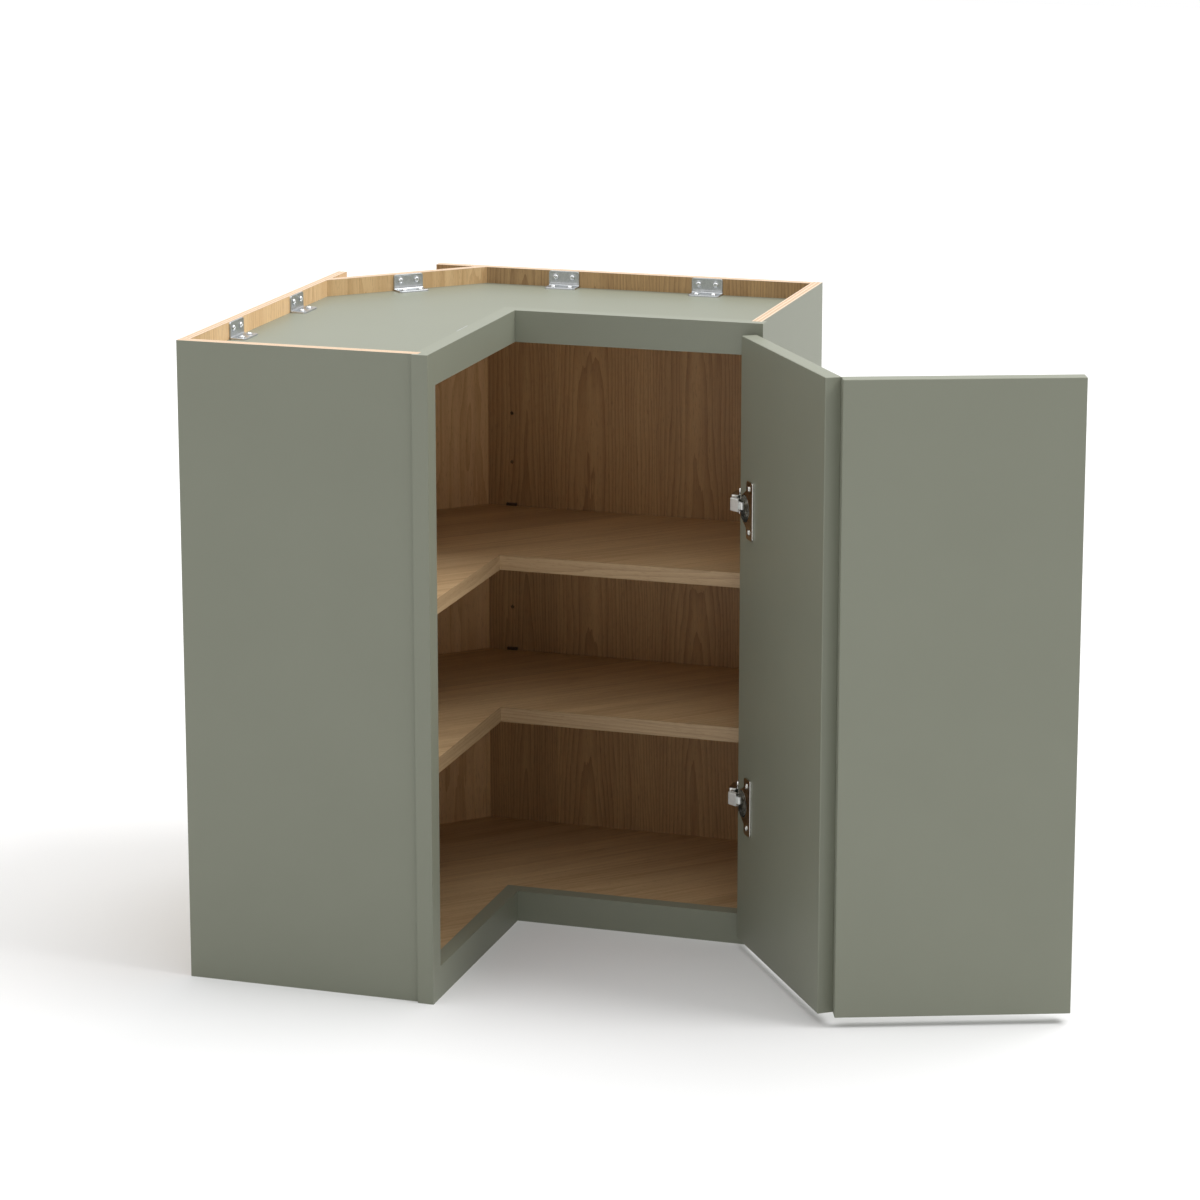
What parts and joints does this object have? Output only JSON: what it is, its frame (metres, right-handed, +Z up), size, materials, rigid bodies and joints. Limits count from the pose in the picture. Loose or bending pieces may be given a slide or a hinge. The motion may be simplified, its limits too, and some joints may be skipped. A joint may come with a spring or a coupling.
{
  "type": "corner wall cabinet",
  "caption": "L-shaped wall cabinet that fits a room corner, with shelves inside and a pair of slab doors that fold together and swing on wide-angle cup hinges.",
  "frame": {"origin": "the room corner at the height of the cabinet's underside, where the planes of its two rear faces meet", "axes": "+X along the rear wall, -Y along the left wall, +Z up; the body is symmetric about the upright plane at 45 degrees between them"},
  "size_m": [1.0168, 0.6096, 0.762],
  "materials": {
    "painted_wood": "sage green satin paint",
    "plywood": "light ash veneer, clear satin coat",
    "edging": "ash veneer strip, clear satin coat",
    "clip": "dark brown, matte",
    "zinc": "zinc plated",
    "hinge_metal": "nickel plated, polished"
  },
  "bodies": {
    "cabinet": {"end_panel_left": "painted_wood", "end_panel_right": "painted_wood", "stile_left": "painted_wood", "stile_right": "painted_wood", "top_rail_left": "painted_wood", "top_rail_rear": "painted_wood", "bottom_rail_left": "painted_wood", "bottom_rail_rear": "painted_wood", "top_panel": "painted_wood", "back_panel_left": "plywood", "back_panel_rear": "plywood", "back_panel_diagonal": "plywood", "bottom_panel": "plywood", "shelf_upper": "plywood", "shelf_lower": "plywood", "shelf_upper_edging": "edging", "shelf_lower_edging": "edging", "shelf_clips_upper": "clip", "shelf_clips_lower": "clip", "top_brackets": "zinc", "top_bracket_screws": "zinc", "hinge_arm_upper": "hinge_metal", "hinge_arm_lower": "hinge_metal", "hinge_arm_screws": "hinge_metal", "hinge_arm_pins": "hinge_metal"},
    "hinge_links": {"hinge_link_upper": "hinge_metal", "hinge_link_lower": "hinge_metal"},
    "leaf_right": {"door_leaf_right": "painted_wood", "hinge_cup_upper": "hinge_metal", "hinge_cup_lower": "hinge_metal", "hinge_cup_pins": "hinge_metal", "hinge_cup_screws": "hinge_metal", "fold_hinge_plates_right": "hinge_metal", "fold_hinge_pins": "hinge_metal", "fold_hinge_screws_right": "hinge_metal"},
    "leaf_left": {"door_leaf_left": "painted_wood", "fold_hinge_plates_left": "hinge_metal", "fold_hinge_screws_left": "hinge_metal"}
  },
  "joints": [
    {"name": "link_swing", "type": "hinge", "parent": "cabinet", "child": "hinge_links", "pos_m": [0.57856, -0.31686, 0.381], "axis": [0, 0, 1], "range_deg": [-3, 73]},
    {"name": "leaf_swing", "type": "hinge", "parent": "hinge_links", "child": "leaf_right", "pos_m": [0.59116, -0.32457, 0.381], "axis": [0, 0, 1], "range_deg": [-196.42, 7.64]},
    {"name": "fold_swing", "type": "hinge", "parent": "leaf_right", "child": "leaf_left", "pos_m": [0.75904, -0.5246, 0.381], "axis": [0, 0, 1], "range_deg": [-0.6, 15.2]}
  ],
  "couplings": [
    {"joint": "link_swing", "follows": "leaf_swing", "ratio": -0.36295},
    {"joint": "fold_swing", "follows": "leaf_swing", "ratio": -0.07545}
  ]
}
